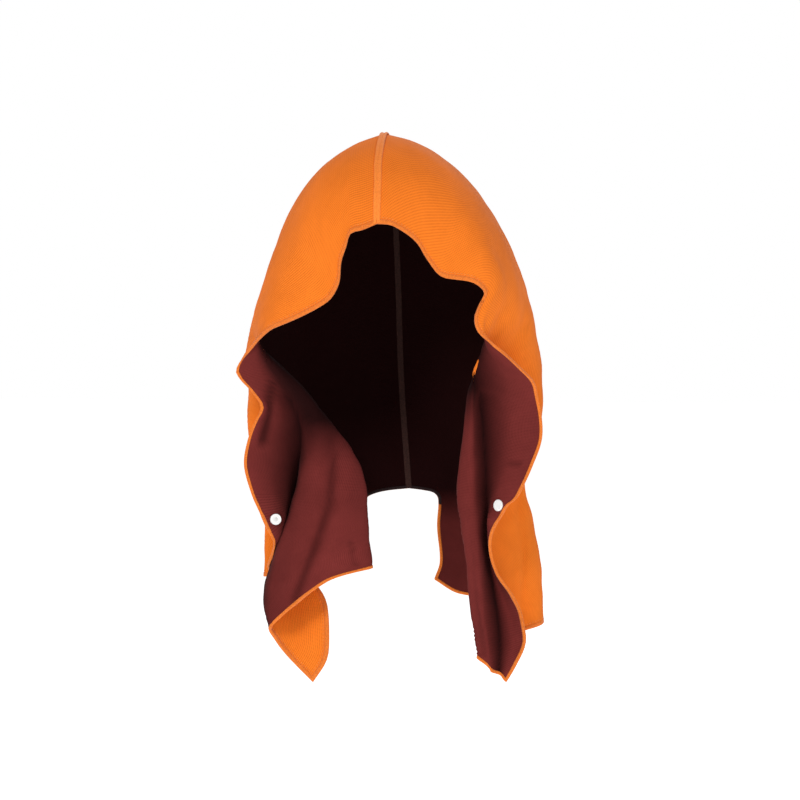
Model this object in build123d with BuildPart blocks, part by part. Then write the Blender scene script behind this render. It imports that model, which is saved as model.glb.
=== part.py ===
"""Two-layer knitted hood with long front tails, lined, edge-bound and closed by a snap at the chin.

Millimetres, +Z up, +X to the wearer's left, face opening towards -Y.  The origin is the inside of
the crown, where the hood sits on the head.  Each half of the hood is one panel of cloth.  Its
drape is given by lines that run down the cloth from the crown seam to the hem, in order from the
front edge round to the nape, and the cloth surface passes through all of them.
"""

from build123d import *
import os

OUTER_THICK = 1.0      # ribbed outer knit
LINING_THICK = 0.8     # smooth lining knit
BINDING_WIDTH = 4.5    # turned edge strip
BINDING_PROUD = 0.5    # how far the strip stands off each face
SEAM_WIDTH = 8.0       # raised seam over the crown
SEAM_PROUD = 1.4
TAPE_WIDTH = 6.5       # seam tape inside
TAPE_PROUD = 0.7
SPLIT_GAP = 2.0        # between the hood cloth and the tail cloth, which turn on each other

HOOD_ROWS = 16         # steps of the cloth net, crown seam to tail
TAIL_ROWS = 9          # steps of the cloth net, tail top to hem
CLOTH_COLUMNS = 26     # steps of the cloth net, front edge to rear edge

CAP_RADIUS = 6.2       # snap cap, the common 12.4 mm plastic size
CAP_THICK = 1.6
SOCKET_RADIUS = 5.8    # socket, and the disc that carries the stud
SOCKET_THICK = 2.8
DISC_THICK = 1.2
STUD_RADIUS = 2.1      # stud, and the hole that takes it
STUD_LENGTH = 2.2
POST_RADIUS = 1.3      # post through the cloth
SNAP_SEAT = 1.2        # room under an outer disc for the curve of the cloth
SNAP_POINTS = 6        # net points whose mean direction a snap takes
PRESS_FLAT = 10.0      # the cloth is flat this far from a snap's middle
PRESS_END = 15.0       # and as draped from here on
PRESS_SPAN = 2         # net steps from a snap that the pressing may reach
LEFT_SNAP = (117.5, -52, -388)      # middle of the snap half near each tail's front edge
RIGHT_SNAP = (-117.5, -52, -405)

# The crown seam from the face edge over the head to the nape.
SEAM = [
    (-6, -95, -93), (-6, -92, -70), (-6, -84, -50), (-7, -72, -33), (-7, -54, -18),
    (-7, -32, -7), (-7, -8, 0), (-7, 22, -2), (-6, 55, -16), (-5, 92, -62),
    (-2, 110, -160), (2, 106, -270), (12, 84, -384),
]

# Lines down the wearer's right half, below the seam point of the same order.
RIGHT_HOOD = [
    [(-20, -98, -99), (-33, -99, -103), (-37, -99, -115), (-43, -99, -133), (-45, -98, -153),
     (-54, -96, -170), (-68, -94, -180), (-88, -91, -190), (-104, -86, -197), (-118, -79, -203),
     (-129, -73, -211), (-138, -64, -219), (-152, -50, -234), (-159, -45, -249),
     (-153, -47, -259), (-143, -50, -269), (-132, -54, -286), (-139, -54, -302),
     (-146, -53, -321), (-150, -54, -347), (-142, -56, -378)],
    [(-33, -96, -76), (-56, -97, -93), (-66, -96, -120), (-72, -94, -145), (-88, -89, -163),
     (-112, -80, -180), (-129, -68, -200), (-137, -56, -222), (-136, -53, -240),
     (-130, -55, -256), (-119, -57, -275), (-113, -56, -296), (-118, -55, -325),
     (-121, -53, -352), (-118, -54, -378)],
    [(-35, -88, -56), (-62, -89, -74), (-80, -88, -100), (-90, -85, -126), (-104, -79, -150),
     (-120, -70, -172), (-132, -62, -196), (-134, -58, -218), (-126, -59, -238),
     (-112, -56, -262), (-97, -44, -290), (-93, -30, -318), (-96, -21, -350), (-100, -19, -378)],
    [(-36, -76, -40), (-62, -78, -57), (-84, -77, -84), (-98, -74, -112), (-112, -68, -140),
     (-126, -58, -168), (-137, -51, -196), (-132, -58, -220), (-117, -61, -240),
     (-99, -58, -264), (-83, -47, -292), (-80, -43, -322), (-86, -45, -352), (-93, -46, -378)],
    [(-36, -59, -26), (-63, -62, -43), (-86, -62, -70), (-102, -60, -98), (-116, -56, -128),
     (-129, -50, -160), (-140, -42, -194), (-134, -50, -220), (-114, -56, -240),
     (-92, -55, -264), (-74, -47, -294), (-60, -43, -324), (-56, -43, -352), (-55, -44, -378)],
    [(-36, -38, -16), (-64, -43, -34), (-88, -46, -62), (-105, -46, -92), (-119, -44, -124),
     (-132, -40, -158), (-143, -32, -194), (-138, -40, -218), (-116, -48, -238),
     (-90, -46, -264), (-68, -38, -294), (-44, -31, -324), (-28, -31, -352), (-23, -32, -378)],
    [(-36, -14, -11), (-64, -18, -29), (-89, -22, -56), (-107, -24, -87), (-121, -24, -121),
     (-134, -20, -157), (-146, -15, -196), (-146, -20, -222), (-134, -32, -242),
     (-122, -26, -268), (-110, -12, -297), (-100, 0, -330), (-92, 2, -378)],
    [(-36, 16, -12), (-64, 12, -30), (-89, 9, -55), (-107, 7, -84), (-121, 6, -117),
     (-134, 5, -154), (-146, 5, -195), (-156, 3, -232), (-157, 3, -250), (-153, 6, -270),
     (-155, 6, -300), (-152, 7, -328), (-141, 15, -378)],
    [(-35, 48, -28), (-68, 43, -52), (-95, 40, -86), (-113, 39, -125), (-128, 39, -168),
     (-139, 39, -210), (-143, 40, -250), (-142, 40, -290), (-138, 41, -334), (-128, 44, -378)],
    [(-32, 88, -72), (-62, 83, -94), (-87, 80, -124), (-104, 78, -158), (-116, 76, -198),
     (-122, 75, -240), (-122, 74, -290), (-116, 74, -334), (-104, 76, -378)],
    [(-26, 107, -166), (-50, 102, -182), (-70, 98, -206), (-84, 94, -234), (-94, 91, -268),
     (-97, 89, -304), (-93, 88, -342), (-82, 90, -380)],
    [(-14, 104, -273), (-30, 101, -281), (-43, 99, -293), (-54, 96, -309), (-61, 94, -330),
     (-63, 92, -356), (-58, 90, -386)],
    [(-13, 84, -387), (-28, 84, -391), (-35, 84, -396)],
]

# The same lines on the wearer's left half.
LEFT_HOOD = [
    [(8, -98, -94), (20, -99, -100), (30, -99, -107), (37, -99, -114), (44, -99, -126),
     (50, -98, -135), (56, -98, -143), (63, -97, -148), (76, -95, -150), (89, -92, -152),
     (98, -89, -156), (105, -85, -165), (99, -84, -177), (94, -82, -190), (97, -79, -204),
     (108, -75, -215), (124, -69, -227), (139, -62, -242), (154, -54, -259),
     (158, -49, -275), (162, -45, -297), (162, -44, -319), (155, -48, -340), (138, -54, -378)],
    [(20, -95, -76), (46, -96, -92), (62, -96, -112), (76, -94, -126), (94, -90, -134),
     (110, -84, -145), (115, -80, -162), (108, -80, -180), (102, -76, -200), (105, -67, -219),
     (117, -60, -238), (129, -52, -262), (133, -46, -290), (134, -44, -320), (127, -46, -350),
     (117, -51, -378)],
    [(26, -88, -55), (54, -89, -72), (76, -88, -94), (94, -85, -112), (110, -79, -128),
     (121, -73, -147), (121, -71, -169), (114, -71, -190), (105, -63, -210), (98, -53, -229),
     (96, -47, -250), (98, -38, -280), (101, -35, -320), (103, -34, -350), (104, -34, -378)],
    [(27, -76, -40), (56, -78, -56), (80, -77, -78), (99, -73, -101), (115, -66, -124),
     (126, -60, -149), (127, -58, -173), (120, -57, -195), (106, -52, -217), (93, -49, -237),
     (91, -52, -263), (90, -51, -296), (90, -51, -336), (91, -52, -378)],
    [(28, -59, -26), (56, -62, -42), (80, -62, -64), (100, -59, -88), (117, -53, -115),
     (129, -48, -144), (134, -46, -172), (128, -48, -198), (111, -45, -222), (93, -45, -243),
     (87, -48, -268), (84, -46, -300), (83, -47, -340), (82, -48, -378)],
    [(28, -38, -15), (57, -43, -32), (80, -46, -54), (100, -44, -79), (117, -40, -106),
     (130, -36, -137), (138, -34, -168), (137, -36, -196), (121, -38, -222), (99, -34, -245),
     (86, -36, -268), (82, -40, -292), (80, -40, -322), (77, -40, -350), (75, -40, -378)],
    [(27, -12, -10), (55, -16, -26), (78, -20, -46), (98, -22, -71), (115, -20, -98),
     (129, -18, -129), (140, -17, -161), (148, -18, -194), (148, -20, -222), (138, -20, -250),
     (128, -14, -280), (122, -8, -310), (120, -6, -345), (121, -5, -378)],
    [(26, 18, -11), (54, 14, -27), (77, 10, -47), (97, 8, -71), (113, 6, -96), (127, 5, -124),
     (138, 5, -153), (147, 5, -184), (153, 5, -214), (158, 5, -242), (159, 5, -266),
     (159, 5, -292), (154, 8, -325), (144, 12, -356), (142, 14, -378)],
    [(25, 48, -28), (54, 43, -48), (80, 40, -76), (101, 39, -108), (117, 39, -140),
     (129, 39, -172), (138, 39, -204), (144, 38, -236), (147, 38, -268), (145, 40, -300),
     (138, 42, -340), (131, 44, -378)],
    [(22, 88, -72), (50, 83, -92), (76, 80, -120), (96, 78, -152), (109, 76, -184),
     (117, 76, -214), (122, 75, -243), (123, 74, -270), (122, 74, -300), (117, 74, -335),
     (110, 76, -378)],
    [(20, 107, -165), (42, 103, -178), (62, 98, -198), (78, 94, -222), (88, 92, -246),
     (93, 90, -270), (95, 89, -295), (95, 88, -320), (92, 88, -348), (88, 90, -380)],
    [(20, 104, -276), (36, 101, -286), (50, 98, -300), (60, 96, -316), (66, 94, -332),
     (69, 93, -350), (68, 90, -386)],
    [(28, 84, -386), (40, 84, -389), (45, 84, -396)],
]

# Lines down each tail, from the last point of the hood line of the same order to the hem.
RIGHT_TAIL = [
    [(-134, -57, -396), (-127, -54, -413), (-120, -46, -431), (-124, -38, -446),
     (-129, -26, -460), (-124, -13, -469), (-106, -9, -472), (-82, -12, -478), (-68, -20, -496),
     (-64, -27, -525), (-66, -30, -556), (-81, -30, -581)],
    [(-112, -54, -404), (-114, -44, -426), (-124, -24, -450), (-123, -11, -474),
     (-111, -15, -500), (-104, -26, -530), (-104, -32, -557)],
    [(-107, -21, -402), (-115, -20, -425), (-122, -15, -447), (-130, -20, -468),
     (-133, -30, -488), (-130, -37, -508), (-126, -42, -526)],
    [(-99, -48, -398), (-107, -50, -418), (-115, -51, -438), (-119, -52, -458),
     (-123, -52, -479), (-125, -51, -500), (-124, -50, -519)],
    [(-57, -48, -410), (-60, -51, -440), (-63, -54, -470)],
    [(-22, -33, -398), (-20, -34, -425), (-17, -35, -457)],
    [(-90, 9, -405), (-90, 14, -440), (-90, 15, -467)],
    [(-137, 17, -403), (-139, 19, -430), (-139, 20, -475)],
    [(-125, 45, -402), (-127, 46, -430), (-127, 46, -474)],
    [(-103, 74, -402), (-104, 72, -430), (-104, 68, -472)],
    [(-81, 86, -410), (-81, 82, -440), (-81, 79, -469)],
    [(-58, 87, -410), (-58, 84, -440), (-58, 82, -465)],
    [(-36, 82, -415), (-36, 79, -440), (-36, 76, -462)],
]
LEFT_TAIL = [
    [(130, -55, -386), (119, -56, -401), (111, -54, -417), (109, -50, -432), (111, -47, -448),
     (118, -45, -463), (130, -44, -481), (139, -44, -499), (145, -46, -526), (143, -48, -541),
     (136, -50, -556), (126, -53, -574)],
    [(108, -52, -398), (105, -44, -422), (109, -36, -447), (117, -30, -475), (127, -32, -505),
     (132, -38, -532), (128, -47, -555), (122, -52, -570)],
    [(106, -33, -400), (106, -32, -425), (108, -31, -455), (113, -33, -491), (118, -38, -532),
     (119, -48, -567)],
    [(95, -53, -430), (101, -54, -490), (107, -55, -535), (111, -55, -562)],
    [(86, -49, -430), (92, -50, -490), (99, -51, -530), (103, -52, -556)],
    [(77, -41, -400), (82, -42, -437), (87, -44, -494), (93, -45, -533), (95, -46, -549)],
    [(124, -4, -410), (129, -3, -455), (131, -3, -499), (132, -5, -531)],
    [(151, 16, -408), (160, 18, -463), (161, 18, -490), (161, 18, -522)],
    [(139, 46, -420), (146, 47, -465), (148, 47, -516)],
    [(116, 74, -420), (119, 72, -465), (120, 70, -509)],
    [(90, 86, -420), (92, 82, -460), (92, 78, -503)],
    [(67, 86, -420), (67, 82, -460), (64, 79, -498)],
    [(44, 82, -427), (47, 80, -465), (41, 78, -484)],
]


def samples(line, count):
    """Points spaced evenly along a smooth curve through the given ones, by Hermite arcs."""
    points = [Vector(*point) for point in line]
    marks = [0.0]
    for before, after in zip(points, points[1:]):
        marks.append(marks[-1] + (after - before).length)
    last = len(points) - 1

    def slope(knot):
        before, after = max(knot - 1, 0), min(knot + 1, last)
        return (points[after] - points[before]) * (1 / (marks[after] - marks[before]))

    found = []
    knot = 0
    for step in range(count + 1):
        mark = marks[-1] * step / count
        while knot < last - 1 and mark > marks[knot + 1]:
            knot += 1
        span = marks[knot + 1] - marks[knot]
        t = (mark - marks[knot]) / span
        found.append(
            points[knot] * (2 * t**3 - 3 * t**2 + 1)
            + slope(knot) * (span * (t**3 - 2 * t**2 + t))
            + points[knot + 1] * (3 * t**2 - 2 * t**3)
            + slope(knot + 1) * (span * (t**3 - t**2))
        )
    return found


def filled(net):
    """The net with evenly spaced points across the lines as well, as columns of the cloth."""
    rows = [samples([tuple(line[row]) for line in net], CLOTH_COLUMNS) for row in range(len(net[0]))]
    return [list(column) for column in zip(*rows)]


def hood_net(lines):
    """Cloth points of one half of the hood, front edge first, each line from seam to tail."""
    return filled([samples([start] + line, HOOD_ROWS) for start, line in zip(SEAM, lines)])


def tail_net(hood_lines, tail_lines):
    """Cloth points of one tail, front edge first, each line from the hood to the hem."""
    net = []
    for hood_line, tail_line in zip(hood_lines, tail_lines):
        x, y, z = hood_line[-1]
        net.append(samples([(x, y, z - SPLIT_GAP)] + tail_line, TAIL_ROWS))
    return filled(net)


def normals(net, side):
    """Unit normals of a net, all towards the outside of the hood."""
    last_column, last_row = len(net) - 1, len(net[0]) - 1
    found = []
    for column in range(last_column + 1):
        found.append([])
        for row in range(last_row + 1):
            down = net[column][min(row + 1, last_row)] - net[column][max(row - 1, 0)]
            back = net[min(column + 1, last_column)][row] - net[max(column - 1, 0)][row]
            found[-1].append(down.cross(back).normalized() * side)
    return found


def raised(net, directions, height):
    """The net moved along the given directions."""
    return [[point + way * height for point, way in zip(points, ways)]
            for points, ways in zip(net, directions)]


def sheet(inner, outer):
    """Closed sheet of flat facets between two nets of the same size."""
    facets = []

    def corner_faces(a, b, c, d):
        facets.append(Face(Wire.make_polygon([a, b, c])))
        facets.append(Face(Wire.make_polygon([a, c, d])))

    last_column, last_row = len(inner) - 1, len(inner[0]) - 1
    for net in (inner, outer):
        for column in range(last_column):
            for row in range(last_row):
                corner_faces(net[column][row], net[column + 1][row],
                             net[column + 1][row + 1], net[column][row + 1])
    for row in range(last_row):
        for column in (0, last_column):
            corner_faces(inner[column][row], inner[column][row + 1],
                         outer[column][row + 1], outer[column][row])
    for column in range(last_column):
        for row in (0, last_row):
            corner_faces(inner[column][row], inner[column + 1][row],
                         outer[column + 1][row], outer[column][row])
    return Solid(Shell(facets))


def edge_strip(edge, inside, ways):
    """Turned binding along an edge, round both layers of cloth and standing a little past them."""
    strip = [[], []]
    for at_edge, further_in in zip(edge, inside):
        inward = (further_in - at_edge).normalized()
        strip[0].append(at_edge - inward * BINDING_PROUD)
        strip[1].append(at_edge + inward * BINDING_WIDTH)
    both_ways = [ways, ways]
    return sheet(raised(strip, both_ways, -LINING_THICK - BINDING_PROUD),
                 raised(strip, both_ways, OUTER_THICK + BINDING_PROUD))


def seam_strip(width, low, high):
    """Strip along the crown seam between two heights over the cloth, negative towards the inside."""
    strip, ways = [[], [], []], []
    for right, left, right_way, left_way in zip(right_net, left_net, right_ways, left_ways):
        seam_point = right[0]
        strip[0].append(seam_point + (right[1] - seam_point).normalized() * (width / 2))
        strip[1].append(seam_point)
        strip[2].append(seam_point + (left[1] - seam_point).normalized() * (width / 2))
        ways.append((right_way[0] + left_way[0]).normalized())
    all_ways = [ways, ways, ways]
    return sheet(raised(strip, all_ways, low), raised(strip, all_ways, high))


def finish(piece, name):
    """Label a finished piece and write its STEP file."""
    piece.part.label = name
    export_step(piece.part, f"parts/{name}.step")


def snap_plane(net, ways, near):
    """Plane on the cloth at a place, facing the inside of the hood, level with the cloth round it."""
    place = Vector(*near)
    spots = sorted(((point - place).length, index, row)
                   for index, points in enumerate(net) for row, point in enumerate(points))
    nearest = [(net[index][row], ways[index][row]) for _, index, row in spots[:SNAP_POINTS]]
    way = sum((spot_way for _, spot_way in nearest), Vector(0, 0, 0)).normalized()
    middle = sum((spot for spot, _ in nearest), Vector(0, 0, 0)) * (1 / len(nearest))
    return Plane(origin=place + way * (middle - place).dot(way), z_dir=way * -1)


def pressed(net, snap):
    """The net drawn flat round its snap, as the two pressed halves hold the cloth."""
    column, row = min(((c, r) for c in range(len(net)) for r in range(len(net[0]))),
                      key=lambda spot: (net[spot[0]][spot[1]] - snap.origin).length)
    made = [list(points) for points in net]
    for c in range(max(column - PRESS_SPAN, 0), min(column + PRESS_SPAN + 1, len(net))):
        for r in range(max(row - PRESS_SPAN, 0), min(row + PRESS_SPAN + 1, len(net[0]))):
            away = (net[c][r] - snap.origin).length
            share = min(1, max(0, (PRESS_END - away) / (PRESS_END - PRESS_FLAT)))
            made[c][r] = net[c][r] - snap.z_dir * ((net[c][r] - snap.origin).dot(snap.z_dir) * share)
    return made


os.makedirs("parts", exist_ok=True)

right_net = hood_net(RIGHT_HOOD)
left_net = hood_net(LEFT_HOOD)
right_tail_net = tail_net(RIGHT_HOOD, RIGHT_TAIL)
left_tail_net = tail_net(LEFT_HOOD, LEFT_TAIL)
right_ways = normals(right_net, -1)
left_ways = normals(left_net, 1)
right_tail_ways = normals(right_tail_net, -1)
left_tail_ways = normals(left_tail_net, 1)

# The snap halves sit on the cloth, and the cloth is pressed flat round them.
left_snap = snap_plane(left_tail_net, left_tail_ways, LEFT_SNAP)
right_snap = snap_plane(right_tail_net, right_tail_ways, RIGHT_SNAP)
left_tail_net = pressed(left_tail_net, left_snap)
right_tail_net = pressed(right_tail_net, right_snap)
right_tail_ways = normals(right_tail_net, -1)
left_tail_ways = normals(left_tail_net, 1)

# Two layers of cloth, meeting on the net.
cloths = (
    ("outer_panel_right", "lining_panel_right", right_net, right_ways),
    ("outer_panel_left", "lining_panel_left", left_net, left_ways),
    ("tail_outer_right", "tail_lining_right", right_tail_net, right_tail_ways),
    ("tail_outer_left", "tail_lining_left", left_tail_net, left_tail_ways),
)
for outer_name, lining_name, net, ways in cloths:
    with BuildPart() as outer_cloth:
        add(sheet(net, raised(net, ways, OUTER_THICK)))
    finish(outer_cloth, outer_name)
    with BuildPart() as lining_cloth:
        add(sheet(net, raised(net, ways, -LINING_THICK)))
    finish(lining_cloth, lining_name)

# Turned binding on every free edge.
for side, hood, hood_ways, tail, tail_ways in (
    ("right", right_net, right_ways, right_tail_net, right_tail_ways),
    ("left", left_net, left_ways, left_tail_net, left_tail_ways),
):
    edges = (
        ("face_binding", hood[0], hood[1], hood_ways[0]),
        ("nape_binding", hood[-1], hood[-2], hood_ways[-1]),
        ("tail_front_binding", tail[0], tail[1], tail_ways[0]),
        ("tail_rear_binding", tail[-1], tail[-2], tail_ways[-1]),
        ("tail_hem_binding", [line[-1] for line in tail], [line[-2] for line in tail],
         [line[-1] for line in tail_ways]),
    )
    for name, edge, inside, ways in edges:
        with BuildPart() as binding:
            add(edge_strip(edge, inside, ways))
        finish(binding, f"{name}_{side}")

# Raised seam over the crown, and the tape that covers it inside.
with BuildPart() as crown_seam_piping:
    add(seam_strip(SEAM_WIDTH, OUTER_THICK, OUTER_THICK + SEAM_PROUD))
finish(crown_seam_piping, "crown_seam_piping")

with BuildPart() as inner_seam_tape:
    add(seam_strip(TAPE_WIDTH, -LINING_THICK - TAPE_PROUD, -LINING_THICK))
finish(inner_seam_tape, "inner_seam_tape")

# The chin snap.  Its two halves sit near the front edges of the tails, and each has a cap or rim
# on the lining side, a post through the cloth and a disc on the outer side.
with BuildPart() as snap_cap_left:
    with BuildSketch(left_snap.offset(LINING_THICK)):
        Circle(CAP_RADIUS)
    extrude(amount=CAP_THICK)
    top_face = snap_cap_left.faces().sort_by(Axis(left_snap.origin, left_snap.z_dir))[-1]
    fillet(top_face.edges(), CAP_THICK * 0.6)
    with BuildSketch(left_snap.offset(LINING_THICK)):
        Circle(POST_RADIUS)
    extrude(amount=-LINING_THICK - OUTER_THICK - SNAP_SEAT)
finish(snap_cap_left, "snap_cap_left")

with BuildPart() as snap_stud_left:
    with BuildSketch(left_snap.offset(-OUTER_THICK - SNAP_SEAT)):
        Circle(SOCKET_RADIUS)
    extrude(amount=-DISC_THICK)
    with BuildSketch(left_snap.offset(-OUTER_THICK - SNAP_SEAT - DISC_THICK)):
        Circle(STUD_RADIUS)
    extrude(amount=-STUD_LENGTH)
finish(snap_stud_left, "snap_stud_left")

with BuildPart() as snap_socket_right:
    with BuildSketch(right_snap.offset(LINING_THICK)):
        Circle(SOCKET_RADIUS)
    extrude(amount=SOCKET_THICK)
    with BuildSketch(right_snap.offset(LINING_THICK + SOCKET_THICK)):
        Circle(STUD_RADIUS)
    extrude(amount=-STUD_LENGTH, mode=Mode.SUBTRACT)
finish(snap_socket_right, "snap_socket_right")

with BuildPart() as snap_cap_right:
    with BuildSketch(right_snap.offset(-OUTER_THICK - SNAP_SEAT)):
        Circle(CAP_RADIUS)
    extrude(amount=-CAP_THICK)
    with BuildSketch(right_snap.offset(-OUTER_THICK - SNAP_SEAT)):
        Circle(POST_RADIUS)
    extrude(amount=SNAP_SEAT + OUTER_THICK + LINING_THICK)
finish(snap_cap_right, "snap_cap_right")
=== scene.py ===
"""Two-layer knitted hood with long front tails: cloth, bindings, seam, stitching and snaps.

Each half is one continuous sheet of cloth, from the crown seam to the hem, in two layers.  Its
drape is given by the same lines as the CAD, in millimetres, and is turned to metres when sampled.
"""

import math

import bmesh
import bpy
import numpy as np
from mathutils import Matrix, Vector, noise


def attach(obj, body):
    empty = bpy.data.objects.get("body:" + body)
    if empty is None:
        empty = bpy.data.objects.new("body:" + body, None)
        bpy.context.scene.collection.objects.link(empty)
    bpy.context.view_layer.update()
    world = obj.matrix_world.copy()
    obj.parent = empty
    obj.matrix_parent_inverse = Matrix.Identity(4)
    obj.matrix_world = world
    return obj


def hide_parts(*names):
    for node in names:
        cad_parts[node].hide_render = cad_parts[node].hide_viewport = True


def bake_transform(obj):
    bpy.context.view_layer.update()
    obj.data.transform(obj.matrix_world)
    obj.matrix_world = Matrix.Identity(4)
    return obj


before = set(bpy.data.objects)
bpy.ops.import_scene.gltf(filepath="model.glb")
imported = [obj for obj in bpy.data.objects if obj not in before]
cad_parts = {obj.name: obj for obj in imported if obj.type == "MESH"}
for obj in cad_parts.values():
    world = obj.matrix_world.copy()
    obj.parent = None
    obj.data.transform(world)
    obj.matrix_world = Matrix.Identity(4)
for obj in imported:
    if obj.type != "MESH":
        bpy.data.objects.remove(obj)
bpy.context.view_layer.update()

MM = 0.001
COLUMNS = 108          # cloth mesh, front edge to rear edge
HOOD_STEPS = 66        # cloth mesh, crown seam to tail
TAIL_STEPS = 38        # cloth mesh, tail top to hem
OUTER_FACE = 1.0 * MM  # outer knit surface, off the middle of the cloth
LINING_FACE = -0.8 * MM
LAYER_GAP = 0.08 * MM
SNAPS = {"right": Vector((-0.1175, -0.052, -0.405)), "left": Vector((0.1175, -0.052, -0.388))}
# The snap half seen on the lining side, and how far it stands over the middle of the cloth.
SNAP_NODES = {"right": ("snap_socket_right", 3.6 * MM), "left": ("snap_cap_left", 2.4 * MM)}

# Wrinkles: rows over which they grow from the seam, and metres from a snap to their start and on
# to their full height.
SEAM_ROWS, SNAP_CALM, SNAP_GROW = 9, 0.009, 0.02
# How closely folds and creases follow each other, and a place in the noise for the folds.
FOLD_ACROSS, FOLD_DOWN, FOLD_PLACE, CREASE_FINE = 26, 7, 3, 55
# Their heights in mm at the seam, and how much more at the hem.
FOLD_HIGH, FOLD_MORE, CREASE_HIGH, CREASE_MORE = 0.7, 4.2, 0.5, 0.9
CREASE_EASE = 0.3      # lines over which a sharper crease fades at each side
SEAT_REACH = 7         # net points each side of a snap that it can press
SEAT_END, SEAT_EASE = 0.017, 0.009    # metres from a snap where pressing ends, and its ease
# Where painted shade fills the inside of the hood: how far back and how high, and the height under
# which each line's own painted shade comes in.
SHADE_BACK, SHADE_LOW, SHADE_EASE = -0.062, -0.455, 0.07
LINES_TOP, LINES_EASE = -0.215, 0.06
EDGE_STEP, SEAM_STEP = 1.2 * MM, 1.3 * MM    # spacing of rings along the bindings and the seam
BAND_SWELL, SEAM_SWELL = 0.12, 0.05          # how much fuller every other ring is
BAND_INNER = 0.5       # points of the binding's section below this are on the lining side

# The crown seam from the face edge over the head to the nape.
SEAM = [
    (-6, -95, -93), (-6, -92, -70), (-6, -84, -50), (-7, -72, -33), (-7, -54, -18),
    (-7, -32, -7), (-7, -8, 0), (-7, 22, -2), (-6, 55, -16), (-5, 92, -62),
    (-2, 110, -160), (2, 106, -270), (12, 84, -384),
]

# Lines down the wearer's right half, below the seam point of the same order.
RIGHT_HOOD = [
    [(-20, -98, -99), (-33, -99, -103), (-37, -99, -115), (-43, -99, -133), (-45, -98, -153),
     (-54, -96, -170), (-68, -94, -180), (-88, -91, -190), (-104, -86, -197), (-118, -79, -203),
     (-129, -73, -211), (-138, -64, -219), (-152, -50, -234), (-159, -45, -249),
     (-153, -47, -259), (-143, -50, -269), (-132, -54, -286), (-139, -54, -302),
     (-146, -53, -321), (-150, -54, -347), (-142, -56, -378)],
    [(-33, -96, -76), (-56, -97, -93), (-66, -96, -120), (-72, -94, -145), (-88, -89, -163),
     (-112, -80, -180), (-129, -68, -200), (-137, -56, -222), (-136, -53, -240),
     (-130, -55, -256), (-119, -57, -275), (-113, -56, -296), (-118, -55, -325),
     (-121, -53, -352), (-118, -54, -378)],
    [(-35, -88, -56), (-62, -89, -74), (-80, -88, -100), (-90, -85, -126), (-104, -79, -150),
     (-120, -70, -172), (-132, -62, -196), (-134, -58, -218), (-126, -59, -238),
     (-112, -56, -262), (-97, -44, -290), (-93, -30, -318), (-96, -21, -350), (-100, -19, -378)],
    [(-36, -76, -40), (-62, -78, -57), (-84, -77, -84), (-98, -74, -112), (-112, -68, -140),
     (-126, -58, -168), (-137, -51, -196), (-132, -58, -220), (-117, -61, -240),
     (-99, -58, -264), (-83, -47, -292), (-80, -43, -322), (-86, -45, -352), (-93, -46, -378)],
    [(-36, -59, -26), (-63, -62, -43), (-86, -62, -70), (-102, -60, -98), (-116, -56, -128),
     (-129, -50, -160), (-140, -42, -194), (-134, -50, -220), (-114, -56, -240),
     (-92, -55, -264), (-74, -47, -294), (-60, -43, -324), (-56, -43, -352), (-55, -44, -378)],
    [(-36, -38, -16), (-64, -43, -34), (-88, -46, -62), (-105, -46, -92), (-119, -44, -124),
     (-132, -40, -158), (-143, -32, -194), (-138, -40, -218), (-116, -48, -238),
     (-90, -46, -264), (-68, -38, -294), (-44, -31, -324), (-28, -31, -352), (-23, -32, -378)],
    [(-36, -14, -11), (-64, -18, -29), (-89, -22, -56), (-107, -24, -87), (-121, -24, -121),
     (-134, -20, -157), (-146, -15, -196), (-146, -20, -222), (-134, -32, -242),
     (-122, -26, -268), (-110, -12, -297), (-100, 0, -330), (-92, 2, -378)],
    [(-36, 16, -12), (-64, 12, -30), (-89, 9, -55), (-107, 7, -84), (-121, 6, -117),
     (-134, 5, -154), (-146, 5, -195), (-156, 3, -232), (-157, 3, -250), (-153, 6, -270),
     (-155, 6, -300), (-152, 7, -328), (-141, 15, -378)],
    [(-35, 48, -28), (-68, 43, -52), (-95, 40, -86), (-113, 39, -125), (-128, 39, -168),
     (-139, 39, -210), (-143, 40, -250), (-142, 40, -290), (-138, 41, -334), (-128, 44, -378)],
    [(-32, 88, -72), (-62, 83, -94), (-87, 80, -124), (-104, 78, -158), (-116, 76, -198),
     (-122, 75, -240), (-122, 74, -290), (-116, 74, -334), (-104, 76, -378)],
    [(-26, 107, -166), (-50, 102, -182), (-70, 98, -206), (-84, 94, -234), (-94, 91, -268),
     (-97, 89, -304), (-93, 88, -342), (-82, 90, -380)],
    [(-14, 104, -273), (-30, 101, -281), (-43, 99, -293), (-54, 96, -309), (-61, 94, -330),
     (-63, 92, -356), (-58, 90, -386)],
    [(-13, 84, -387), (-28, 84, -391), (-35, 84, -396)],
]

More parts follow.
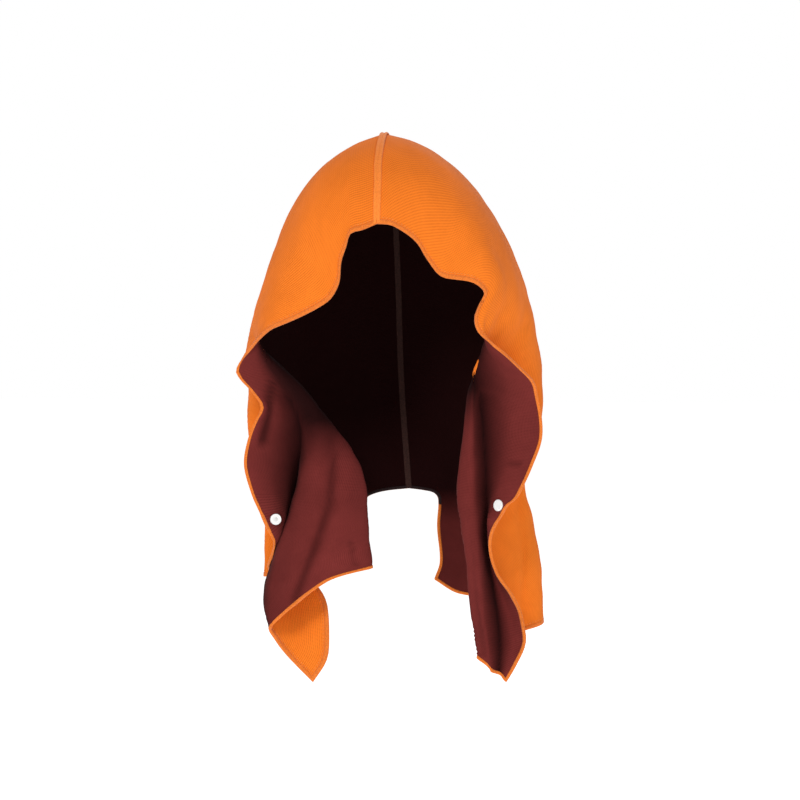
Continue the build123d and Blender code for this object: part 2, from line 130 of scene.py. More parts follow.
# The same lines on the wearer's left half.
LEFT_HOOD = [
    [(8, -98, -94), (20, -99, -100), (30, -99, -107), (37, -99, -114), (44, -99, -126),
     (50, -98, -135), (56, -98, -143), (63, -97, -148), (76, -95, -150), (89, -92, -152),
     (98, -89, -156), (105, -85, -165), (99, -84, -177), (94, -82, -190), (97, -79, -204),
     (108, -75, -215), (124, -69, -227), (139, -62, -242), (154, -54, -259),
     (158, -49, -275), (162, -45, -297), (162, -44, -319), (155, -48, -340), (138, -54, -378)],
    [(20, -95, -76), (46, -96, -92), (62, -96, -112), (76, -94, -126), (94, -90, -134),
     (110, -84, -145), (115, -80, -162), (108, -80, -180), (102, -76, -200), (105, -67, -219),
     (117, -60, -238), (129, -52, -262), (133, -46, -290), (134, -44, -320), (127, -46, -350),
     (117, -51, -378)],
    [(26, -88, -55), (54, -89, -72), (76, -88, -94), (94, -85, -112), (110, -79, -128),
     (121, -73, -147), (121, -71, -169), (114, -71, -190), (105, -63, -210), (98, -53, -229),
     (96, -47, -250), (98, -38, -280), (101, -35, -320), (103, -34, -350), (104, -34, -378)],
    [(27, -76, -40), (56, -78, -56), (80, -77, -78), (99, -73, -101), (115, -66, -124),
     (126, -60, -149), (127, -58, -173), (120, -57, -195), (106, -52, -217), (93, -49, -237),
     (91, -52, -263), (90, -51, -296), (90, -51, -336), (91, -52, -378)],
    [(28, -59, -26), (56, -62, -42), (80, -62, -64), (100, -59, -88), (117, -53, -115),
     (129, -48, -144), (134, -46, -172), (128, -48, -198), (111, -45, -222), (93, -45, -243),
     (87, -48, -268), (84, -46, -300), (83, -47, -340), (82, -48, -378)],
    [(28, -38, -15), (57, -43, -32), (80, -46, -54), (100, -44, -79), (117, -40, -106),
     (130, -36, -137), (138, -34, -168), (137, -36, -196), (121, -38, -222), (99, -34, -245),
     (86, -36, -268), (82, -40, -292), (80, -40, -322), (77, -40, -350), (75, -40, -378)],
    [(27, -12, -10), (55, -16, -26), (78, -20, -46), (98, -22, -71), (115, -20, -98),
     (129, -18, -129), (140, -17, -161), (148, -18, -194), (148, -20, -222), (138, -20, -250),
     (128, -14, -280), (122, -8, -310), (120, -6, -345), (121, -5, -378)],
    [(26, 18, -11), (54, 14, -27), (77, 10, -47), (97, 8, -71), (113, 6, -96), (127, 5, -124),
     (138, 5, -153), (147, 5, -184), (153, 5, -214), (158, 5, -242), (159, 5, -266),
     (159, 5, -292), (154, 8, -325), (144, 12, -356), (142, 14, -378)],
    [(25, 48, -28), (54, 43, -48), (80, 40, -76), (101, 39, -108), (117, 39, -140),
     (129, 39, -172), (138, 39, -204), (144, 38, -236), (147, 38, -268), (145, 40, -300),
     (138, 42, -340), (131, 44, -378)],
    [(22, 88, -72), (50, 83, -92), (76, 80, -120), (96, 78, -152), (109, 76, -184),
     (117, 76, -214), (122, 75, -243), (123, 74, -270), (122, 74, -300), (117, 74, -335),
     (110, 76, -378)],
    [(20, 107, -165), (42, 103, -178), (62, 98, -198), (78, 94, -222), (88, 92, -246),
     (93, 90, -270), (95, 89, -295), (95, 88, -320), (92, 88, -348), (88, 90, -380)],
    [(20, 104, -276), (36, 101, -286), (50, 98, -300), (60, 96, -316), (66, 94, -332),
     (69, 93, -350), (68, 90, -386)],
    [(28, 84, -386), (40, 84, -389), (45, 84, -396)],
]

# Lines down each tail, from the last point of the hood line of the same order to the hem.
RIGHT_TAIL = [
    [(-134, -57, -396), (-127, -54, -413), (-120, -46, -431), (-124, -38, -446),
     (-129, -26, -460), (-124, -13, -469), (-106, -9, -472), (-82, -12, -478), (-68, -20, -496),
     (-64, -27, -525), (-66, -30, -556), (-81, -30, -581)],
    [(-112, -54, -404), (-114, -44, -426), (-124, -24, -450), (-123, -11, -474),
     (-111, -15, -500), (-104, -26, -530), (-104, -32, -557)],
    [(-107, -21, -402), (-115, -20, -425), (-122, -15, -447), (-130, -20, -468),
     (-133, -30, -488), (-130, -37, -508), (-126, -42, -526)],
    [(-99, -48, -398), (-107, -50, -418), (-115, -51, -438), (-119, -52, -458),
     (-123, -52, -479), (-125, -51, -500), (-124, -50, -519)],
    [(-57, -48, -410), (-60, -51, -440), (-63, -54, -470)],
    [(-22, -33, -398), (-20, -34, -425), (-17, -35, -457)],
    [(-90, 9, -405), (-90, 14, -440), (-90, 15, -467)],
    [(-137, 17, -403), (-139, 19, -430), (-139, 20, -475)],
    [(-125, 45, -402), (-127, 46, -430), (-127, 46, -474)],
    [(-103, 74, -402), (-104, 72, -430), (-104, 68, -472)],
    [(-81, 86, -410), (-81, 82, -440), (-81, 79, -469)],
    [(-58, 87, -410), (-58, 84, -440), (-58, 82, -465)],
    [(-36, 82, -415), (-36, 79, -440), (-36, 76, -462)],
]
LEFT_TAIL = [
    [(130, -55, -386), (119, -56, -401), (111, -54, -417), (109, -50, -432), (111, -47, -448),
     (118, -45, -463), (130, -44, -481), (139, -44, -499), (145, -46, -526), (143, -48, -541),
     (136, -50, -556), (126, -53, -574)],
    [(108, -52, -398), (105, -44, -422), (109, -36, -447), (117, -30, -475), (127, -32, -505),
     (132, -38, -532), (128, -47, -555), (122, -52, -570)],
    [(106, -33, -400), (106, -32, -425), (108, -31, -455), (113, -33, -491), (118, -38, -532),
     (119, -48, -567)],
    [(95, -53, -430), (101, -54, -490), (107, -55, -535), (111, -55, -562)],
    [(86, -49, -430), (92, -50, -490), (99, -51, -530), (103, -52, -556)],
    [(77, -41, -400), (82, -42, -437), (87, -44, -494), (93, -45, -533), (95, -46, -549)],
    [(124, -4, -410), (129, -3, -455), (131, -3, -499), (132, -5, -531)],
    [(151, 16, -408), (160, 18, -463), (161, 18, -490), (161, 18, -522)],
    [(139, 46, -420), (146, 47, -465), (148, 47, -516)],
    [(116, 74, -420), (119, 72, -465), (120, 70, -509)],
    [(90, 86, -420), (92, 82, -460), (92, 78, -503)],
    [(67, 86, -420), (67, 82, -460), (64, 79, -498)],
    [(44, 82, -427), (47, 80, -465), (41, 78, -484)],
]

LINES = {"right": (RIGHT_HOOD, RIGHT_TAIL), "left": (LEFT_HOOD, LEFT_TAIL)}
SIDES = {"right": -1, "left": 1}
# How much painted shade each line gets, front edge to rear: most in the valley behind the lapel.
FOLD_DARK = {"right": [0, 0.5, 1, 0.3, 0, 0.1, 0.6, 0.3, 0, 0.1, 0.3, 0.4, 0.4],
             "left": [0, 0.12, 1, 0.2, 0.05, 0.2, 0.8, 0.3, 0, 0.1, 0.35, 0.45, 0.45]}
# The same painted shade for the part that goes up into the hood, and the heights where it starts
# and is full.
TOP_DARK = [0, 0.3, 0.9, 1, 1, 1, 1, 1, 1, 1, 1, 1, 1]
TOP_FROM, TOP_FULL = {"right": -0.36, "left": -0.32}, {"right": -0.3, "left": -0.265}

# Sharper creases: the lines of the cloth they lie between, how far they go towards the outer side
# in mm, their half width in mm, their painted shade, and their x and z places in mm.
CREASES = {
    "right": [
        (3, 5, 3.6, 6, 0.55, [(-54, -318), (-61, -390), (-76, -435), (-97, -489)]),
        (3, 5, -2.6, 9, 0, [(-40, -330), (-46, -390), (-60, -440)]),
        (3, 5, -2.4, 9, 0, [(-72, -310), (-80, -380), (-92, -430), (-108, -470)]),
        (3.5, 5, 1.3, 3, 0.35, [(-39, -430), (-33, -452)]),
        (0.1, 1.9, 3.0, 9, 0.8, [(-107, -209), (-118, -250), (-124, -280), (-131, -320)]),
        (0.1, 1.5, 0.8, 2.2, 0.4, [(-133, -377), (-125, -375)]),
    ],
    "left": [
        (0.3, 3, -3.0, 5, 0, [(127, -188), (132, -214), (126, -236)]),
        (0.3, 3, -1.6, 4, 0, [(117, -178), (121, -205)]),
        (0.2, 1.5, 0.8, 2.5, 0.4, [(122, -342), (140, -346)]),
        (6, 7.2, -1.8, 4, 0, [(133, -372), (141, -450), (138, -525)]),
        (3.3, 5, 1.2, 5, 0.3, [(92, -420), (98, -500), (102, -545)]),
    ],
}


def hermite(points, at):
    """Points on a smooth curve through the given ones, at the given distances along it."""
    points = np.asarray(points, float)
    marks = np.concatenate([[0], np.cumsum(np.linalg.norm(np.diff(points, axis=0), axis=1))])
    last = len(points) - 1
    before = np.maximum(np.arange(last + 1) - 1, 0)
    after = np.minimum(np.arange(last + 1) + 1, last)
    slopes = (points[after] - points[before]) / (marks[after] - marks[before])[:, None]
    at = np.asarray(at(marks) if callable(at) else at)
    knot = np.clip(np.searchsorted(marks, at, side="right") - 1, 0, last - 1)
    span = (marks[knot + 1] - marks[knot])[:, None]
    t = (at - marks[knot])[:, None] / span
    return (
        points[knot] * (2 * t**3 - 3 * t**2 + 1) + slopes[knot] * span * (t**3 - 2 * t**2 + t)
        + points[knot + 1] * (3 * t**2 - 2 * t**3) + slopes[knot + 1] * span * (t**3 - t**2)
    )


def cloth_net(side):
    """The middle of one half's cloth, columns by rows, in metres, and the line of each point."""
    hood, tail = LINES[side]
    down = []
    for start, upper, lower in zip(SEAM, hood, tail):
        knots = len(upper)

        def rows(marks):
            top = marks[knots] * np.linspace(0, 1, HOOD_STEPS + 1)
            rest = marks[knots] + (marks[-1] - marks[knots]) * np.linspace(0, 1, TAIL_STEPS + 1)
            return np.concatenate([top, rest[1:]])

        down.append(hermite([start, *upper, *lower], rows))
    down = np.array(down) * MM
    even, lines = [], []
    for row in range(down.shape[1]):
        line = down[:, row]
        marks = np.concatenate([[0], np.cumsum(np.linalg.norm(np.diff(line, axis=0), axis=1))])
        at = marks[-1] * np.linspace(0, 1, COLUMNS + 1)
        even.append(hermite(line, at))
        lines.append(np.interp(at, marks, np.arange(len(line))))
    return np.array(even).transpose(1, 0, 2), np.array(lines).T


def unit(vectors):
    return vectors / np.maximum(np.linalg.norm(vectors, axis=-1, keepdims=True), 1e-12)


def smoothed(values, times):
    """Each value averaged with its neighbours on the net."""
    for _ in range(times):
        padded = np.pad(values, ((1, 1), (1, 1), (0, 0)), mode="edge")
        values = (padded[1:-1, 1:-1] * 2 + padded[:-2, 1:-1] + padded[2:, 1:-1]
                  + padded[1:-1, :-2] + padded[1:-1, 2:]) / 6
    return values


def outward(net, side):
    """Unit normals of the cloth, towards its outer face."""
    square = unit(np.cross(np.gradient(net, axis=1), np.gradient(net, axis=0)))
    return unit(smoothed(square, 1)) * SIDES[side]


def wrinkled(net, ways, side):
    """Soft drape folds and small creases, dying out round the snap and towards the crown seam."""
    made = net.copy()
    rows = net.shape[1]
    for c in range(net.shape[0]):
        for r in range(rows):
            p = Vector(net[c, r])
            from_seam = min(1.0, r / SEAM_ROWS)
            from_snap = min(1.0, max(0.0, ((p - SNAPS[side]).length - SNAP_CALM) / SNAP_GROW))
            low = r / (rows - 1)
            place = Vector((p.x * FOLD_ACROSS, p.y * FOLD_ACROSS, p.z * FOLD_DOWN + FOLD_PLACE))
            folds = noise.noise(place) * (FOLD_HIGH + FOLD_MORE * low)
            creases = noise.noise(p * CREASE_FINE) * (CREASE_HIGH + CREASE_MORE * low)
            made[c, r] += ways[c, r] * (folds + creases) * MM * from_seam * from_snap
    return made


def creased(net, ways, side):
    """The cloth with its sharper creases, and the shade painted on each point in them."""
    made, dark = net.copy(), np.zeros(net.shape[:2])
    flat, line = net[..., [0, 2]], LINE_AT[side]
    for first, last, depth, width, shade, places in CREASES[side]:
        away = np.full(dark.shape, np.inf)
        ends = np.array(places) * MM
        for start, end in zip(ends, ends[1:]):
            run = end - start
            along = np.clip(((flat - start) @ run) / (run @ run), 0, 1)
            away = np.minimum(away, np.linalg.norm(flat - start - along[..., None] * run, axis=2))
        inside = np.clip((line - first) / CREASE_EASE, 0, 1)
        inside = inside * np.clip((last - line) / CREASE_EASE, 0, 1)
        share = np.exp(-((away / (width * MM)) ** 2)) * inside
        made += ways * (share * depth * MM)[..., None]
        dark = np.maximum(dark, share * shade)
    return made, dark


def snap_seat(node, top):
    """The middle of the cloth under a snap and the way its lining side faces, from the CAD node."""
    corners = np.array([v.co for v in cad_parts[node].data.vertices], float)
    centre = corners.mean(axis=0)
    axis = np.linalg.svd(corners - centre)[2][-1]
    axis = axis if axis[1] < 0 else -axis
    return centre + axis * (((corners - centre) @ axis).max() - top), axis


def seated(net, side):
    """The cloth drawn flat round its snap, as the pressed halves hold it."""
    place, axis = snap_seat(*SNAP_NODES[side])
    near = np.linalg.norm(net - place, axis=2)
    c, r = np.unravel_index(near.argmin(), near.shape)
    made = net.copy()
    past = SEAT_REACH + 1
    part = np.s_[max(c - SEAT_REACH, 0):c + past, max(r - SEAT_REACH, 0):r + past]
    share = np.clip((SEAT_END - near[part]) / SEAT_EASE, 0, 1)
    share = share * share * (3 - 2 * share)
    off = (net[part] - place) @ axis
    made[part] -= (share * off)[..., None] * axis
    return made


NETS, WAYS, LINE_AT, CREASE_DARK = {}, {}, {}, {}
for half in SIDES:
    net, LINE_AT[half] = cloth_net(half)
    net, CREASE_DARK[half] = creased(net, outward(net, half), half)
    NETS[half] = seated(wrinkled(net, outward(net, half), half), half)
    WAYS[half] = outward(NETS[half], half)


def mesh_piece(name, points, faces):
    """A smooth-shaded mesh object in the scene."""
    mesh = bpy.data.meshes.new(name)
    mesh.from_pydata([tuple(map(float, p)) for p in points], [], faces)
    mesh.validate()
    mesh.update()
    for face in mesh.polygons:
        face.use_smooth = True
    piece = bpy.data.objects.new(name, mesh)
    bpy.context.scene.collection.objects.link(piece)
    return piece


def face_outwards(piece):
    """Turns every face of a closed mesh to face out."""
    work = bmesh.new()
    work.from_mesh(piece.data)
    bmesh.ops.recalc_face_normals(work, faces=work.faces)
    work.to_mesh(piece.data)
    work.free()


def cloth_sheet(name, side, low, high):
    """One closed layer of cloth between two offsets, with its thread directions and its painted
    shade as attributes.
    """
    net, ways = NETS[side], WAYS[side]
    wide, tall = net.shape[:2]
    points = np.concatenate([(net + ways * low).reshape(-1, 3), (net + ways * high).reshape(-1, 3)])
    count = wide * tall

    def at(c, r, layer):
        return layer * count + c * tall + r

    faces = []
    for c in range(wide - 1):
        for r in range(tall - 1):
            for layer in (0, 1):
                faces.append((at(c, r, layer), at(c + 1, r, layer),
                              at(c + 1, r + 1, layer), at(c, r + 1, layer)))
    for r in range(tall - 1):
        for c in (0, wide - 1):
            faces.append((at(c, r, 0), at(c, r + 1, 0), at(c, r + 1, 1), at(c, r, 1)))
    for c in range(wide - 1):
        for r in (0, tall - 1):
            faces.append((at(c, r, 0), at(c + 1, r, 0), at(c + 1, r, 1), at(c, r, 1)))
    piece = mesh_piece(name, points, faces)
    face_outwards(piece)

    across = np.linalg.norm(np.diff(net, axis=0), axis=2).mean(axis=1)
    along = np.linalg.norm(np.diff(net, axis=1), axis=2).mean(axis=0)
    u = np.concatenate([[0], np.cumsum(across)])
    v = np.concatenate([[0], np.cumsum(along)])
    grid = np.meshgrid(u, v, indexing="ij")
    weave = np.stack([*grid, np.zeros((wide, tall))], axis=2).reshape(-1, 3)
    threads = piece.data.attributes.new("weave", "FLOAT_VECTOR", "POINT")
    threads.data.foreach_set("vector", np.concatenate([weave, weave]).astype(np.float32).ravel())

    # Painted shade: how dark the cloth is painted inside the hood, in the valleys between folds and
    # along the creases.
    back = np.clip((net[..., 1] - SHADE_BACK) / SHADE_EASE, 0, 1)
    above = np.clip((net[..., 2] - SHADE_LOW) / SHADE_EASE, 0, 1)
    below = np.clip((LINES_TOP - net[..., 2]) / LINES_EASE, 0, 1)
    top = np.clip((net[..., 2] - TOP_FROM[side]) / (TOP_FULL[side] - TOP_FROM[side]), 0, 1)
    order = np.arange(len(TOP_DARK))
    low_dark = np.interp(LINE_AT[side], order, FOLD_DARK[side])
    top_dark = np.interp(LINE_AT[side], order, TOP_DARK)
    painted_shade = np.maximum.reduce([
        back * back * (3 - 2 * back) * above, low_dark * below, top_dark * top, CREASE_DARK[side],
    ]).reshape(-1)
    inside = piece.data.attributes.new("painted_shade", "FLOAT", "POINT")
    inside.data.foreach_set("value", np.concatenate([painted_shade, painted_shade]).astype(np.float32))
    return piece


def resampled(line, step):
    """A line of points, and anything carried with them, at an even fine spacing."""
    place = np.concatenate([[0], np.cumsum(np.linalg.norm(np.diff(line[0], axis=0), axis=1))])
    marks = np.linspace(0, place[-1], max(2, int(place[-1] / step)))
    return [
        np.stack([np.interp(marks, place, part[:, k]) for k in range(3)], axis=1) for part in line
    ]


def swept(name, centres, firsts, seconds, section, swell=0.0):
    """A closed section carried along a line, every other ring a little fuller, as thread is."""
    points, faces = [], []
    size, last = len(section), len(centres) - 1
    for i, (centre, first, second) in enumerate(zip(centres, firsts, seconds)):
        full = 1 + swell * (i % 2)
        for a, b in section:
            points.append(centre + first * a * MM + second * b * MM * full)
    for i in range(last):
        for k in range(size):
            n = (k + 1) % size
            faces.append((i * size + k, i * size + n, (i + 1) * size + n, (i + 1) * size + k))
    faces.append(tuple(range(size)))
    faces.append(tuple(last * size + k for k in range(size)))
    piece = mesh_piece(name, points, faces)
    face_outwards(piece)
    return piece


def edge(side, which):
    """An edge of the cloth: its points, the way into the cloth, and the way to the outer face."""
    net, ways = NETS[side], WAYS[side]
    at, further, way = {
        "front": (net[0], net[2], ways[0]),
        "rear": (net[-1], net[-3], ways[-1]),
        "hem": (net[:, -1], net[:, -3], ways[:, -1]),
    }[which]
    inward = unit(smoothed(unit(further - at)[:, None], 2)[:, 0])
    return resampled([at, inward, way], EDGE_STEP)


BINDING = [(-0.6, -0.9), (-0.2, -1.35), (2.2, -1.3), (2.7, -0.7), (4.3, 0.9), (3.9, 1.45),
           (-0.2, 1.5), (-0.6, 1.0)]
NAPE_END = -0.402      # above this the rear edge is the nape, its binding painted with shade on the lining side
STITCH_IN, STITCH_LONG, STITCH_GAP, STITCH_THICK = 6.0 * MM, 2.3 * MM, 1.2 * MM, 0.32 * MM
STITCH_UP = 0.1 * MM   # the middle of the thread above the outer face
STITCH_FREE = 6 * MM   # no stitches this near the ends of an edge
STITCH_RINGS = ((0, 0.35), (0.2, 1), (0.8, 1), (1, 0.35))    # places along one, and fullness there
STITCH_SIDES = 6


def stitches(name, side):
    """Lines of lockstitch along the bindings, one short raised thread after another."""
    points, faces = [], []
    for which in ("front", "rear", "hem"):
        at, inward, way = edge(side, which)
        line = [at + inward * STITCH_IN + way * (OUTER_FACE + STITCH_UP), inward, way]
        steps = np.linalg.norm(np.diff(line[0], axis=0), axis=1)
        place = np.concatenate([[0], np.cumsum(steps)])
        start = STITCH_FREE
        while start + STITCH_LONG < place[-1] - STITCH_FREE:
            base = len(points)
            for share, full in STITCH_RINGS:
                mark = start + STITCH_LONG * share
                centre, first, second = (
                    np.array([np.interp(mark, place, part[:, k]) for k in range(3)])
                    for part in line
                )
                for k in range(STITCH_SIDES):
                    turn = math.tau * k / STITCH_SIDES
                    off = first * math.cos(turn) + second * math.sin(turn)
                    points.append(centre + off * STITCH_THICK * full)
            last = base + (len(STITCH_RINGS) - 1) * STITCH_SIDES
            for ring in range(base, last, STITCH_SIDES):
                for k in range(STITCH_SIDES):
                    n = (k + 1) % STITCH_SIDES
                    faces.append((ring + k, ring + n, ring + STITCH_SIDES + n,
                                  ring + STITCH_SIDES + k))
            faces.append(tuple(base + k for k in range(STITCH_SIDES)))
            faces.append(tuple(last + k for k in range(STITCH_SIDES)))
            start += STITCH_LONG + STITCH_GAP
    piece = mesh_piece(name, points, faces)
    face_outwards(piece)
    return piece


def nodes_of(name):
    """A new material, its node tree and its shader."""
    material = bpy.data.materials.new(name)
    material.use_nodes = True
    tree = material.node_tree
    return material, tree, tree.nodes["Principled BSDF"]


def linked(tree, kind, inputs=None, **settings):
    """A new node with its settings made and its inputs linked or set."""
    node = tree.nodes.new(kind)
    for key, value in settings.items():
        setattr(node, key, value)
    for key, value in (inputs or {}).items():
        if isinstance(value, bpy.types.NodeSocket):
            tree.links.new(value, node.inputs[key])
        else:
            node.inputs[key].default_value = value
    return node


def linked_colour_mix(tree, share, colour, other):
    """A colour that turns to another, plain one by a share."""
    mix = tree.nodes.new("ShaderNodeMix")
    mix.data_type = "RGBA"
    tree.links.new(share, mix.inputs[0])
    tree.links.new(colour, mix.inputs[6])
    mix.inputs[7].default_value = (*other, 1)
    return mix.outputs[2]


def ramped(tree, share, dark, light, low=0.0, high=1.0):
    """A colour from dark to light by a share, between two places on its scale."""
    ramp = linked(tree, "ShaderNodeValToRGB", {"Fac": share})
    for k, (place, colour) in enumerate(((low, dark), (high, light))):
        ramp.color_ramp.elements[k].position = place
        ramp.color_ramp.elements[k].color = (*colour, 1)
    return ramp.outputs["Color"]


ONE_BAND = 0.31416     # the Wave texture's scale times the spacing of its bands


def knit(name, light, dark, pitch=2.0, angle=0.0, ribs=0.8, sheen=0.35, rough=0.9, depth=0.5,
         shine=0.1, shade_black=None):
    """Knitted cloth: ribs along the cloth and loops across them, with uneven dye, soft sheen and,
    given a shade colour, painted shade.
    """
    material, tree, shader = nodes_of(name)
    threads = linked(tree, "ShaderNodeAttribute", attribute_name="weave")
    along = threads.outputs["Vector"]
    turned = linked(tree, "ShaderNodeMapping", {"Vector": along, "Rotation": (0, 0, angle)})
    turned = turned.outputs["Vector"]
    waver = linked(tree, "ShaderNodeTexNoise", {"Vector": turned, "Scale": 90.0})
    scale = ONE_BAND / (pitch * MM)
    bands = {"Vector": turned, "Distortion": 0.2, "Detail": 1.0, "Detail Scale": 0.4}
    rib = linked(tree, "ShaderNodeTexWave", {**bands, "Scale": scale}, bands_direction="X")
    loop = linked(tree, "ShaderNodeTexWave", {**bands, "Scale": scale * 1.15},
                  bands_direction="Y")
    both = linked(tree, "ShaderNodeMix", {
        "Factor": 1 - ribs, "A": rib.outputs["Fac"], "B": loop.outputs["Fac"]})
    uneven = linked(tree, "ShaderNodeMath", {0: waver.outputs["Fac"], 1: 0.35},
                    operation="MULTIPLY")
    height = linked(tree, "ShaderNodeMath", {0: both.outputs["Result"], 1: uneven.outputs["Value"]},
                    operation="ADD")
    dyed = ramped(tree, height.outputs["Value"], dark, light, 0.15, 0.85)
    worn = linked(tree, "ShaderNodeTexNoise", {"Vector": along, "Scale": 14.0, "Detail": 4.0})
    shade = linked(tree, "ShaderNodeMapRange", {
        "Value": worn.outputs["Fac"], "From Min": 0.3, "From Max": 0.7, "To Min": 0.9,
        "To Max": 1.06})
    colour = linked(tree, "ShaderNodeVectorMath", {0: dyed}, operation="SCALE")
    tree.links.new(shade.outputs["Result"], colour.inputs["Scale"])
    result = colour.outputs["Vector"]
    # Painted shade: the colour turns towards a near black by the painted shade attribute.
    if shade_black is not None:
        inside = linked(tree, "ShaderNodeAttribute", attribute_name="painted_shade")
        result = linked_colour_mix(tree, inside.outputs["Fac"], result, shade_black)
    tree.links.new(result, shader.inputs["Base Color"])
    bump = linked(tree, "ShaderNodeBump", {
        "Height": height.outputs["Value"], "Strength": depth, "Distance": 0.0006})
    tree.links.new(bump.outputs["Normal"], shader.inputs["Normal"])
    shader.inputs["Roughness"].default_value = rough
    shader.inputs["Sheen Weight"].default_value = sheen
    shader.inputs["Sheen Roughness"].default_value = 0.5
    shader.inputs["Specular IOR Level"].default_value = shine
    return material


def thread(name, light, dark, scale=900.0, sheen=0.15, shade_black=None):
    """Twisted sewing thread and bound edges, fine and fuzzy."""
    material, tree, shader = nodes_of(name)
    place = linked(tree, "ShaderNodeTexCoord")
    fuzz = linked(tree, "ShaderNodeTexNoise", {
        "Vector": place.outputs["Object"], "Scale": scale, "Detail": 3.0})
    result = ramped(tree, fuzz.outputs["Fac"], dark, light, 0.3, 0.7)
    # Painted shade: the colour turns towards a near black by the painted shade attribute.
    if shade_black is not None:
        inside = linked(tree, "ShaderNodeAttribute", attribute_name="painted_shade")
        result = linked_colour_mix(tree, inside.outputs["Fac"], result, shade_black)
    tree.links.new(result, shader.inputs["Base Color"])
    bump = linked(tree, "ShaderNodeBump", {
        "Height": fuzz.outputs["Fac"], "Strength": 0.5, "Distance": 0.0004})
    tree.links.new(bump.outputs["Normal"], shader.inputs["Normal"])
    shader.inputs["Roughness"].default_value = 0.82
    shader.inputs["Sheen Weight"].default_value = sheen
    shader.inputs["Specular IOR Level"].default_value = 0.25
    return material


def glossy(name):
    """Moulded white plastic with slight unevenness."""
    material, tree, shader = nodes_of(name)
    place = linked(tree, "ShaderNodeTexCoord")
    grain = linked(tree, "ShaderNodeTexNoise", {
        "Vector": place.outputs["Object"], "Scale": 420.0, "Detail": 2.0})
    white = ramped(tree, grain.outputs["Fac"], (0.8, 0.79, 0.77), (0.92, 0.92, 0.91))
    tree.links.new(white, shader.inputs["Base Color"])
    rough = linked(tree, "ShaderNodeMapRange", {
        "Value": grain.outputs["Fac"], "To Min": 0.16, "To Max": 0.3})
    tree.links.new(rough.outputs["Result"], shader.inputs["Roughness"])
    bump = linked(tree, "ShaderNodeBump", {
        "Height": grain.outputs["Fac"], "Strength": 0.08, "Distance": 0.0003})
    tree.links.new(bump.outputs["Normal"], shader.inputs["Normal"])
    shader.inputs["Coat Weight"].default_value = 0.4
    return material


ORANGE = ((0.87, 0.2, 0.016), (0.66, 0.135, 0.01))
OUTER = {
    "right": knit("rib_knit", *ORANGE, ribs=0.8, sheen=0.05),
    "left": knit("mesh_knit", *ORANGE, pitch=1.7, angle=math.radians(42), ribs=0.55, sheen=0.05),
}
# The lining's near black is painted shade, for the inside of the hood, its valleys and its creases.
LINING = knit(
    "lining_knit", (0.19, 0.03, 0.027), (0.105, 0.015, 0.0135), pitch=1.6, ribs=0.5, sheen=0.01,
    shine=0.04, rough=0.95, depth=0.3, shade_black=(0.013, 0.0026, 0.0026),
)
# The binding's near black is painted shade, on the lining side of the nape.
BOUND = thread(
    "bound_edge", (0.84, 0.21, 0.022), (0.56, 0.12, 0.012), shade_black=(0.014, 0.003, 0.003)
)
# The seam cloth's colour, lighter than the orange knit, is painted highlight on its raised ridges.
SEAM_CLOTH = thread("seam_cloth", (0.95, 0.27, 0.035), (0.72, 0.17, 0.018))
THREAD = thread("sewing_thread", (0.92, 0.33, 0.07), (0.6, 0.16, 0.025))
# The inside seam tape's dark colour is painted shade, for the shade inside the hood.
TAPE = thread("tape_cloth", (0.05, 0.016, 0.011), (0.024, 0.007, 0.005), scale=600.0, sheen=0.05)
PLASTIC = glossy("snap_plastic")


def follow(piece, material):
    """Gives a piece its finish and bakes its placing into its mesh."""
    piece.data.materials.append(material)
    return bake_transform(piece)


for half in SIDES:
    outer = cloth_sheet(f"outer_cloth_{half}", half, LAYER_GAP, OUTER_FACE)
    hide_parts(f"outer_panel_{half}", f"tail_outer_{half}")
    follow(outer, OUTER[half])
    lining = cloth_sheet(f"lining_cloth_{half}", half, LINING_FACE, -LAYER_GAP)
    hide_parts(f"lining_panel_{half}", f"tail_lining_{half}")
    follow(lining, LINING)
    for which, stands_for in (("front", ("face_binding", "tail_front_binding")),
                              ("rear", ("nape_binding", "tail_rear_binding")),
                              ("hem", ("tail_hem_binding",))):
        at, inward, way = edge(half, which)
        band = swept(f"{which}_binding_{half}", at, inward, way, BINDING, swell=BAND_SWELL)
        places = np.array([v.co for v in band.data.vertices])
        inner = np.tile([b < BAND_INNER for _, b in BINDING], len(at))
        # Painted shade on the lining side of the nape binding, inside the hood.
        nape = (which == "rear") & (places[:, 2] > NAPE_END) & inner
        painted_shade = band.data.attributes.new("painted_shade", "FLOAT", "POINT")
        painted_shade.data.foreach_set("value", nape.astype(np.float32))
        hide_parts(*[f"{node}_{half}" for node in stands_for])
        follow(band, BOUND)
    follow(stitches(f"stitching_{half}", half), THREAD)

# Crown seam, two rolled ridges outside and a flat tape inside.
seam_way = unit(WAYS["right"][:, 0] + WAYS["left"][:, 0])
seam_across = unit(NETS["left"][:, 2] - NETS["right"][:, 2])
seam_line, seam_side, seam_up = resampled([NETS["right"][:, 0], seam_across, seam_way], SEAM_STEP)
RIDGES = [(-4, 0.7), (-3.8, 1.7), (-3, 2.35), (-2, 2.45), (-1, 2.0), (0, 1.35), (1, 2.0), (2, 2.45),
          (3, 2.35), (3.8, 1.7), (4, 0.7)]
FLAT_TAPE = [(-3.2, -0.7), (3.2, -0.7), (3.2, -1.35), (2.6, -1.5), (-2.6, -1.5), (-3.2, -1.35)]
for name, node, section, slot, material, swell in (
    ("crown_seam", "crown_seam_piping", RIDGES, "seam_thread", SEAM_CLOTH, SEAM_SWELL),
    ("seam_tape_inside", "inner_seam_tape", FLAT_TAPE, "seam_tape", TAPE, 0.0),
):
    piece = swept(name, seam_line, seam_side, seam_up, section, swell)
    piece.data.materials.append(material)
    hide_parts(node)
    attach(piece, "hood")

for node in ("snap_socket_right", "snap_cap_right", "snap_cap_left", "snap_stud_left"):
    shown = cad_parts[node]
    shown.data.materials.clear()
    shown.data.materials.append(PLASTIC)

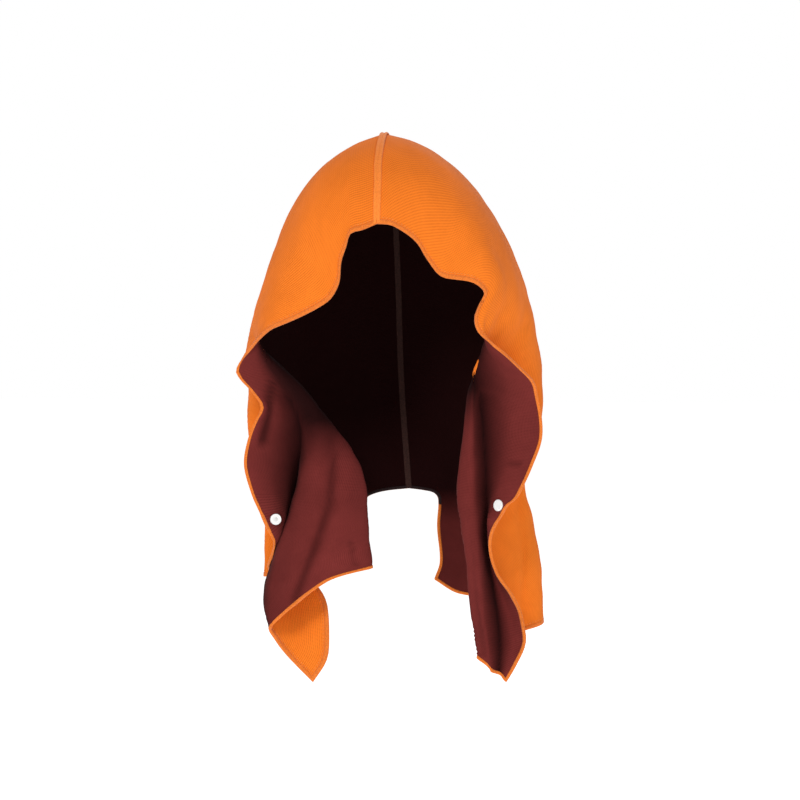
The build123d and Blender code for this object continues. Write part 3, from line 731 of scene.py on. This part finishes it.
# Floor, light and camera.
FLOOR_Z, FLOOR_HALF = -0.85, 8
signs = ((-1, -1), (1, -1), (1, 1), (-1, 1))
corners = [(x * FLOOR_HALF, y * FLOOR_HALF, FLOOR_Z) for x, y in signs]
floor = mesh_piece("floor", corners, [(0, 1, 2, 3)])
floor_material, _, floor_shader = nodes_of("pale_floor")
floor_shader.inputs["Base Color"].default_value = (0.95, 0.95, 0.95, 1)
floor_shader.inputs["Roughness"].default_value = 0.9
floor_shader.inputs["Emission Color"].default_value = (1, 1, 1, 1)
floor_shader.inputs["Emission Strength"].default_value = 0.68
floor.data.materials.append(floor_material)

# The world looks white to the camera and lights the object with less.
WORLD_LIGHT, WORLD_SEEN = 0.38, 1.0
world = bpy.data.worlds.new("studio")
bpy.context.scene.world = world
world.use_nodes = True
world.node_tree.nodes["Background"].inputs["Color"].default_value = (1, 1, 1, 1)
seen = linked(world.node_tree, "ShaderNodeLightPath")
glow = linked(world.node_tree, "ShaderNodeMapRange", {
    "Value": seen.outputs["Is Camera Ray"], "To Min": WORLD_LIGHT, "To Max": WORLD_SEEN})
strength = world.node_tree.nodes["Background"].inputs["Strength"]
world.node_tree.links.new(glow.outputs["Result"], strength)
bpy.context.scene.view_settings.view_transform = "Standard"


def area_light(name, place, target, size, power):
    """A round lamp turned to a target."""
    lamp = bpy.data.lights.new(name, "AREA")
    lamp.shape, lamp.size, lamp.energy = "DISK", size, power
    shown = bpy.data.objects.new(name, lamp)
    shown.location = place
    shown.rotation_euler = (Vector(target) - Vector(place)).to_track_quat("-Z", "Y").to_euler()
    bpy.context.scene.collection.objects.link(shown)


area_light("key", (-0.8, -2.0, 1.3), (0, 0, -0.25), 0.8, 31)
area_light("fill", (1.7, -1.7, 0.1), (0, 0, -0.3), 1.2, 9)
area_light("back_light", (0.3, 1.8, 1.2), (0, 0, -0.25), 1.4, 16)

AZIMUTH, ELEVATION, DISTANCE, LENS = math.radians(5), math.radians(4), 3.0, 127.4
ASIDE, RAISED = 0.0095, -0.281    # the middle of the picture, from the crown, in metres
level = math.cos(ELEVATION)
back = Vector((math.sin(AZIMUTH) * level, -math.cos(AZIMUTH) * level, math.sin(ELEVATION)))
right = Vector((math.cos(AZIMUTH), math.sin(AZIMUTH), 0))
up = back.cross(right)
lens = bpy.data.cameras.new("camera")
lens.lens, lens.sensor_width, lens.clip_end = LENS, 36, 50
camera = bpy.data.objects.new("camera", lens)
camera.location = right * ASIDE + up * RAISED + back * DISTANCE
camera.rotation_euler = back.to_track_quat("Z", "Y").to_euler()
bpy.context.scene.collection.objects.link(camera)
bpy.context.scene.camera = camera

bpy.context.view_layer.update()
